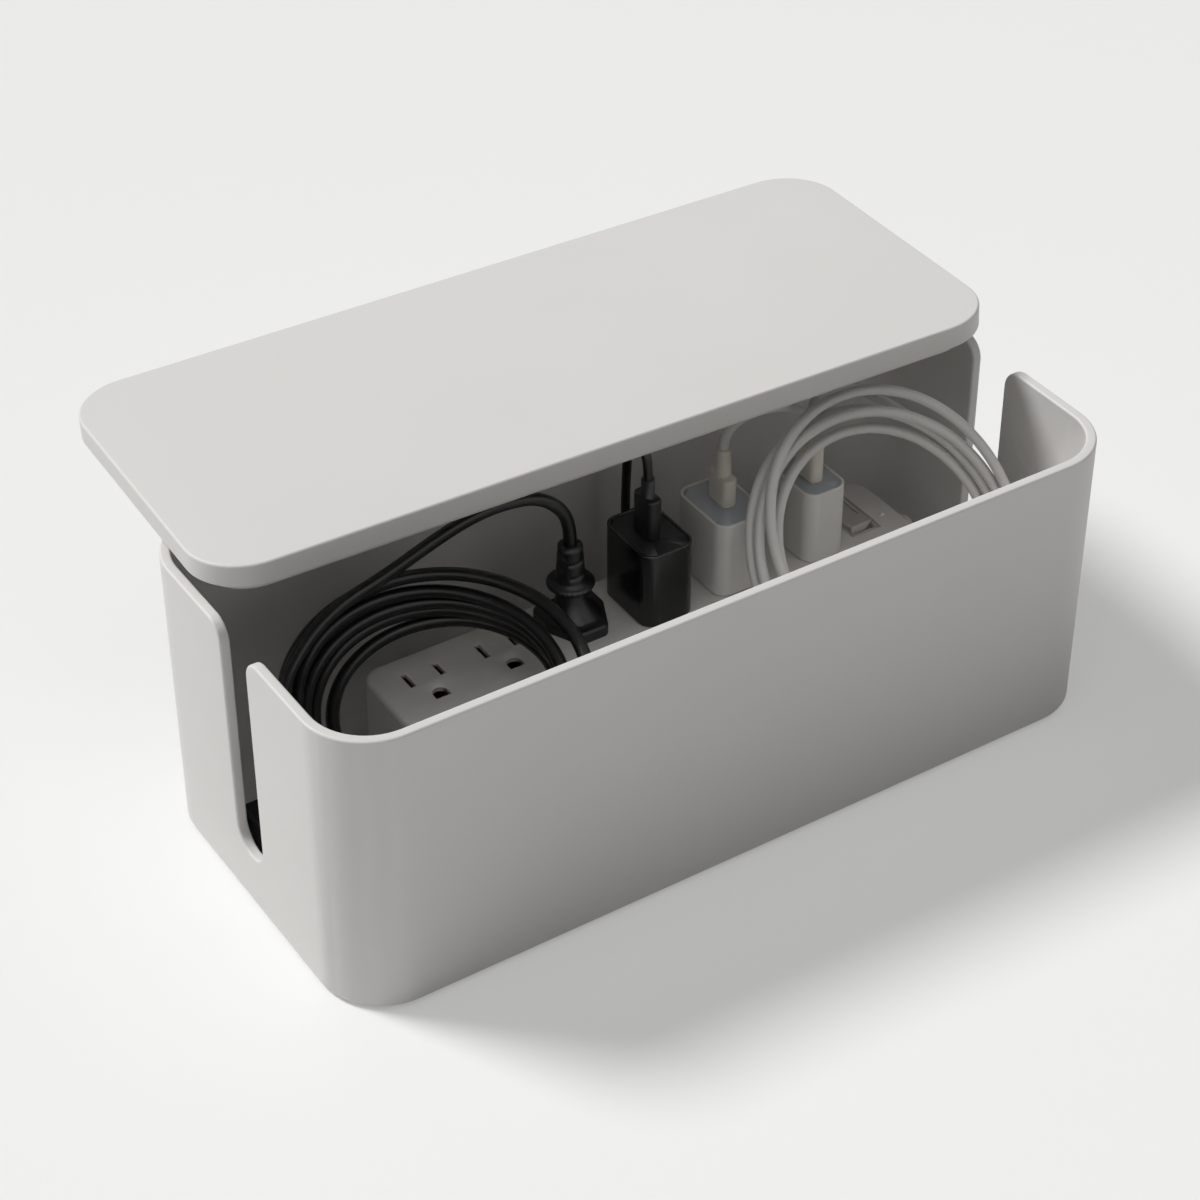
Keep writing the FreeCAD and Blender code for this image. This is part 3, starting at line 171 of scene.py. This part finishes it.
def moulded_detail(material, shader, colour, shade, grain_mm, bump_mm, roughness, spread):
    """Spark-eroded mould texture: fine bumps, uneven sheen, and a faint cloudiness."""
    place = add_node(material, "ShaderNodeTexCoord")
    grain = add_node(material, "ShaderNodeTexNoise", None,
                     {"Vector": place.outputs["Object"], "Scale": 1000 / grain_mm, "Detail": 3.0})
    cloud = add_node(material, "ShaderNodeTexNoise", None,
                     {"Vector": place.outputs["Object"], "Scale": 18.0, "Detail": 2.0})
    tint = add_node(material, "ShaderNodeMix", {"data_type": "RGBA"},
                    {"Factor": cloud.outputs["Fac"], "A": linear(colour), "B": linear(shade)})
    sheen = add_node(material, "ShaderNodeMapRange", None,
                     {"Value": grain.outputs["Fac"], "To Min": roughness - spread,
                      "To Max": roughness + spread})
    bump = add_node(material, "ShaderNodeBump", None,
                    {"Height": grain.outputs["Fac"], "Distance": bump_mm / 1000, "Strength": 0.6})
    links = material.node_tree.links
    links.new(tint.outputs[2], shader.inputs["Base Color"])
    links.new(sheen.outputs["Result"], shader.inputs["Roughness"])
    links.new(bump.outputs["Normal"], shader.inputs["Normal"])


def smooth_copy(name, material, body="box", angle=32):
    """A merged and smoothly shaded copy of a CAD piece, in its place."""
    bpy.ops.object.select_all(action="DESELECT")
    piece = nodes[name].copy()
    piece.data = nodes[name].data.copy()
    piece.name = name + "_finished"
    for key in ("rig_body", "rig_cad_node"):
        if key in piece:
            del piece[key]
    piece.parent = None
    piece.matrix_world = Matrix.Identity(4)
    bpy.context.scene.collection.objects.link(piece)
    bpy.context.view_layer.objects.active = piece
    piece.select_set(True)
    bpy.ops.object.mode_set(mode="EDIT")
    bpy.ops.mesh.select_all(action="SELECT")
    bpy.ops.mesh.remove_doubles(threshold=0.000002)
    bpy.ops.object.mode_set(mode="OBJECT")
    bpy.ops.object.shade_smooth_by_angle(angle=math.radians(angle))
    piece.data.materials.clear()
    piece.data.materials.append(material)
    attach(piece, body)
    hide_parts(name)
    piece.select_set(False)
    return piece


moulded_pvc, moulded_pvc_shader = new_material("moulded_black_pvc", "#0e0e10", 0.42, 1.5)
moulded_detail(moulded_pvc, moulded_pvc_shader, "#0d0d0f", "#141416", 0.35, 0.05, 0.42, 0.08)
smooth_copy("mains_plug_body", moulded_pvc)
connector = smooth_copy("mains_lead_connector", moulded_pvc)
pvc, pvc_shader = new_material("black_pvc_cord", "#0b0b0c", 0.34, 1.5)
moulded_detail(pvc, pvc_shader, "#0a0a0b", "#101011", 0.5, 0.03, 0.34, 0.05)
mains_bundle = Bundle((-83, -1, 60), (-0.15, -0.12, 0.98), (1, 0, 0.15),
                      [(-5.5, -4.7, 54.5, 56.0, 0, 17.2), (-3.8, -4.7, 52.8, 54.7, 0, 11.5),
                       (-4.5, -1.6, 46.1, 50.2, 0, 5.8), (-2.9, 0.0, 45.2, 47.1, 0, 0.0),
                       (-0.8, -1.7, 44.6, 49.9, 0, -5.8), (3.4, 4.1, 40.8, 41.2, 0, -11.6)])
lead_points = [(-12, 27, 80), (-12, 27, 88), (-15.2, 27.4, 97), (-24, 29, 104.5), (-36, 30.5, 106),
               (-48, 33, 103.5), (-61, 36.2, 97), (-81.2, 40.2, 85.4), (-97, 41, 80.7),
               (-111, 36.5, 77.9), (-124, 28.5, 74.9), (-134, 19.5, 72.6), *mains_bundle.turns(170, 2025),
               mains_bundle.ahead(2025, 5), mains_bundle.ahead(2025, 14), (-96, -47, 33),
               (-106, -58.5, 22), (-124, -61, 12.5), (-140, -54, 8.5), (-146.5, -38, 8.5),
               (-144, -28, 10.5), (-139.5, -19, 11.5), (-139.5, -10, 11.5)]
mains_lead = lay_cord("mains_lead", lead_points, 5.0)
mains_lead.data.materials.append(pvc)
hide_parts("mains_lead_run", "mains_lead_coil", "mains_lead_tail")

# White charging cable of the middle charger: soft white TPE over a thin braid.
# It arches out of its relief, runs through the white bundle and ends in a second plug.
# The plugs are cream TPE moulded over nickel-plated tips.
tpe, tpe_shader = new_material("white_tpe_cable", "#d4d3d0", 0.48, 1.5)
moulded_detail(tpe, tpe_shader, "#d6d5d2", "#cfcecb", 0.6, 0.02, 0.48, 0.05)
white_bundle = Bundle((94, -23, 68), (-0.1097, -0.7803, 0.6157), (0.99, -0.139, 0),
                      [(0.0, -2.0, 46.0, 50.0, 24, -9.8), (2.4, -0.9, 42.0, 46.5, 27, -5.2),
                       (-2.8, -3.6, 50.5, 56.8, 20, -0.6), (-1.8, -2.0, 50.3, 53.0, 27, 4.0),
                       (1.1, 4.4, 48.0, 54.2, 19, 8.6)])
cable_points = [(51, 21.5, 102), (51, 21.5, 109), (56, 14.5, 119.5), (69.3, 11.5, 119.7),
                (82.1, 14.5, 109.9), (85.2, 15.7, 102.6),
                white_bundle.ahead(100, -10), white_bundle.ahead(100, -4),
                *white_bundle.turns(100, 1640),
                white_bundle.ahead(1640, 4), white_bundle.ahead(1640, 10), (52, -58, 33),
                (54, -58, 21), (60, -56, 10.5), (78, -53, 5.6), (92, -50, 5.1), (102, -50.6, 5.2),
                (114, -49, 6), (122, -49, 6)]
nickel, nickel_shader = new_material("nickel_plated_steel", "#c9c8c6", 0.28, 1.5)
nickel_shader.inputs["Metallic"].default_value = 1.0
drawn = add_node(nickel, "ShaderNodeTexNoise", None,
                 {"Vector": add_node(nickel, "ShaderNodeTexCoord").outputs["Object"],
                  "Scale": 1400.0, "Detail": 2.0})
plated = add_node(nickel, "ShaderNodeMapRange", None,
                  {"Value": drawn.outputs["Fac"], "To Min": 0.2, "To Max": 0.36})
nickel.node_tree.links.new(plated.outputs["Result"], nickel_shader.inputs["Roughness"])
cream_tpe, cream_shader = new_material("cream_tpe", "#d8d4c9", 0.45, 1.5)
moulded_detail(cream_tpe, cream_shader, "#d9d5ca", "#d3cfc4", 0.5, 0.015, 0.45, 0.05)


def plug_ends(cable, material):
    """The plugs at both ends of a charging cable; gives the far one with its metal tip."""
    for end in ("_plug", "_far_plug"):
        pair = [smooth_copy(cable + end, material),
                smooth_copy(cable + end + "_tip", nickel)]
    return pair


white_1_far_end = plug_ends("white_1", cream_tpe)
white_cable_1 = lay_cord("white_cable_1", cable_points, 4.0)
white_cable_1.data.materials.append(tpe)
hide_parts("white_1_cable_arch", "white_1_cable_coil", "white_1_cable_tail")

# White charging cable of the right-hand charger: the same cable, shorter.
# It drops between the chargers and the right end of the box.
white_2_far_end = plug_ends("white_2", cream_tpe)
white_cable_2 = lay_cord("white_cable_2", [
    (88, 18, 103), (88, 18, 109.8), (92.5, 17.6, 116), (102, 16.2, 115.5), (114, 12, 106),
    (126.5, 4, 96), (138, -6.5, 83), (144, -19, 67), (146, -28, 50), (147, -31, 32),
    (147.5, -30, 18), (148, -24.5, 9), (148, -16, 6), (148, -8, 6)], 4.0)
white_cable_2.data.materials.append(tpe)
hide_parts("white_2_cable_run")

# Black charging cable: thin and limp, up out of its plug and down behind the strip.
# Its plugs are black TPE moulded over the metal tips, with a short sleeve.
black_tpe, black_tpe_shader = new_material("black_tpe", "#141517", 0.4, 1.5)
moulded_detail(black_tpe, black_tpe_shader, "#131416", "#1a1b1d", 0.5, 0.02, 0.4, 0.06)
black_far_end = plug_ends("black", black_tpe)
black_cable = lay_cord("black_cable", [
    (16.5, 19.5, 102.5), (16.5, 19.5, 109.5), (16.8, 23.5, 115.5), (19.5, 31, 118), (25, 41, 113),
    (27.3, 48.5, 99), (27.8, 51.2, 76), (27.8, 51.2, 48), (27.8, 51.7, 26), (29, 54, 11),
    (37, 55, 6), (46, 55, 6)], 3.5)
black_cable.data.materials.append(pvc)
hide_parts("black_cable_run")

# Box and lid: injection-moulded ABS in a light warm grey, with a fine spark-eroded texture.
# The lid is lifted off and leans over the back wall; its lip is moulded in one with it.
abs_grey, abs_shader = new_material("light_grey_abs", "#d4d2d0", 0.52, 1.54)
moulded_detail(abs_grey, abs_shader, "#d5d3d1", "#d1cfcc", 0.45, 0.035, 0.52, 0.05)
smooth_copy("box_shell", abs_grey)
smooth_copy("lid", abs_grey, "lid")

# Feet: four moulded rubber buttons pressed into recesses under the box.
foot_rubber, foot_shader = new_material("black_rubber", "#1d1d1d", 0.8, 1.52)
moulded_detail(foot_rubber, foot_shader, "#1c1c1c", "#242424", 0.8, 0.05, 0.8, 0.08)
for foot in ("front_left", "front_right", "back_left", "back_right"):
    smooth_copy("foot_" + foot, foot_rubber)

# Power strip: cover and base moulded in the same grey ABS, a shade darker, and screwed together.
# Brass shows down the blade slots.
strip_abs, strip_shader = new_material("strip_abs", "#d0cdc9", 0.5, 1.54)
moulded_detail(strip_abs, strip_shader, "#d1ceca", "#ccc9c5", 0.4, 0.03, 0.5, 0.05)
smooth_copy("strip_top_cover", strip_abs)
smooth_copy("strip_base", strip_abs)
smooth_copy("strip_cord_grip", strip_abs)

# Bus bars: stamped and bent brass sheet, bright on the clips' rubbed faces.
brass, brass_shader = new_material("stamped_brass", "#c8a057", 0.32, 1.5)
brass_shader.inputs["Metallic"].default_value = 1.0
brushed = add_node(brass, "ShaderNodeTexNoise", None,
                   {"Vector": add_node(brass, "ShaderNodeTexCoord").outputs["Object"],
                    "Scale": 900.0, "Detail": 3.0})
rubbed = add_node(brass, "ShaderNodeMapRange", None,
                  {"Value": brushed.outputs["Fac"], "To Min": 0.24, "To Max": 0.42})
brass.node_tree.links.new(rubbed.outputs["Result"], brass_shader.inputs["Roughness"])


def wear(material, *names):
    """Give the CAD pieces of these names a material in place of their own."""
    for name in names:
        slots = nodes[name].data.materials
        slots.clear()
        slots.append(material)


wear(brass, "line_bus", "neutral_bus", "earth_bus", "mains_plug_pins", "black_charger_pins",
     "white_1_charger_pins", "white_2_charger_pins")

# Switch and indicator: the rocker and its bezel are moulded in grey nylon, left unmarked.
# The indicator is a small clear lens pressed into the cover.
nylon, nylon_shader = new_material("grey_nylon", "#bdbab4", 0.38, 1.53)
moulded_detail(nylon, nylon_shader, "#bebbb5", "#b8b5af", 0.5, 0.015, 0.38, 0.05)
smooth_copy("switch_body", nylon)
smooth_copy("switch_rocker", nylon, "rocker")
lens_plastic, lens_shader = new_material("clear_lens", "#f1efe6", 0.18, 1.49, 0.3)
moulded_detail(lens_plastic, lens_shader, "#f3f1e8", "#eceade", 0.8, 0.004, 0.18, 0.03)
smooth_copy("indicator_lens", lens_plastic)

# Screws: four nickel-plated self-tapping screws up through the base into the cover's posts.
# They are the same plated steel as the tips of the charging plugs.
wear(nickel, "strip_screws")

# Chargers: two-part moulded cases with a plate let into the top around the charging port.
# The left one is polished black polycarbonate with a matt top, the others satin white
# with a blue-grey plate.
gloss_black, gloss_shader = new_material("polished_black_polycarbonate", "#0b0c0e",
                                         0.24, 1.55)
moulded_detail(gloss_black, gloss_shader, "#0a0b0d", "#0f1012", 1.2, 0.004, 0.24, 0.04)
satin_white, satin_shader = new_material("satin_white_polycarbonate", "#d6d5d2", 0.36, 1.58)
moulded_detail(satin_white, satin_shader, "#d7d6d3", "#d1d0cd", 0.5, 0.012, 0.36, 0.05)
plate_grey, plate_shader = new_material("blue_grey_plate", "#a9adb2", 0.4, 1.58)
moulded_detail(plate_grey, plate_shader, "#aaaeb3", "#a3a7ac", 0.5, 0.012, 0.4, 0.05)
smooth_copy("black_charger_case", gloss_black)
matt_black, matt_shader = new_material("matt_black_plate", "#0e0f11", 0.5, 1.5)
moulded_detail(matt_black, matt_shader, "#0d0e10", "#121315", 0.5, 0.02, 0.5, 0.05)
smooth_copy("black_charger_top", matt_black)
for charger in ("white_1", "white_2"):
    smooth_copy(charger + "_charger_case", satin_white)
    smooth_copy(charger + "_charger_top", plate_grey)

# Floor and light: a pale sweep under a soft sun from behind the left end, a broad lamp above
# the open front, and a faint even sky. Seen directly, floor and sky are a little lighter.
floor_material = bpy.data.materials.new("pale_floor")
floor_material.use_nodes = True
floor_shader = floor_material.node_tree.nodes["Principled BSDF"]
floor_shader.inputs["Base Color"].default_value = linear("#f0f0ef")
floor_shader.inputs["Roughness"].default_value = 0.7


def seen_share(setting, share):
    """The given share on rays that show the floor or sky itself, and nothing on other rays."""
    path = add_node(setting, "ShaderNodeLightPath")
    total = path.outputs["Is Camera Ray"]
    for kind in ("Is Glossy Ray", "Is Transmission Ray"):
        node = add_node(setting, "ShaderNodeMath", {"operation": "ADD", "use_clamp": True})
        setting.node_tree.links.new(total, node.inputs[0])
        setting.node_tree.links.new(path.outputs[kind], node.inputs[1])
        total = node.outputs[0]
    node = add_node(setting, "ShaderNodeMath", {"operation": "MULTIPLY"})
    setting.node_tree.links.new(total, node.inputs[0])
    node.inputs[1].default_value = share
    return node.outputs[0]


def blend_in(setting, first, second, share, output):
    """Mix two shaders by a share, and give the mix to the output."""
    mix = add_node(setting, "ShaderNodeMixShader", None, {"Fac": share})
    setting.node_tree.links.new(first, mix.inputs[1])
    setting.node_tree.links.new(second, mix.inputs[2])
    setting.node_tree.links.new(mix.outputs[0], setting.node_tree.nodes[output].inputs["Surface"])


white = add_node(floor_material, "ShaderNodeEmission", None,
                 {"Color": linear("#efefee"), "Strength": 1.0})
blend_in(floor_material, floor_shader.outputs[0], white.outputs[0],
         seen_share(floor_material, 0.33), "Material Output")
bpy.ops.mesh.primitive_plane_add(size=40, location=(0, 0, -0.001))
floor = bpy.context.active_object
floor.name = "floor"
floor.data.materials.append(floor_material)

top_lamp = bpy.data.lights.new("top_lamp", "AREA")
top_lamp.size = 1.2
top_lamp.energy = 4.6
top_lamp_object = bpy.data.objects.new("top_lamp", top_lamp)
bpy.context.scene.collection.objects.link(top_lamp_object)
top_lamp_object.location = (-0.2, -0.45, 1.6)
top_lamp_object.rotation_euler = (top_lamp_object.location).to_track_quat("Z", "Y").to_euler()
window = bpy.data.lights.new("window", "SUN")
window.energy = 2.9
window.angle = math.radians(16)
window_lamp = bpy.data.objects.new("window", window)
bpy.context.scene.collection.objects.link(window_lamp)
window_lamp.rotation_euler = Vector((-0.38, 0.51, 0.77)).to_track_quat("Z", "Y").to_euler()
world = bpy.data.worlds.new("studio")
world.use_nodes = True
world.node_tree.nodes["Background"].inputs["Color"].default_value = (1.0, 0.995, 0.99, 1.0)
sky = world.node_tree.nodes["Background"]
sky.inputs["Strength"].default_value = 0.1
backdrop = add_node(world, "ShaderNodeBackground", None,
                    {"Color": linear("#f2f2f1"), "Strength": 1.0})
blend_in(world, sky.outputs[0], backdrop.outputs[0], seen_share(world, 1.0), "World Output")
bpy.context.scene.world = world
bpy.context.scene.view_settings.view_transform = "Standard"
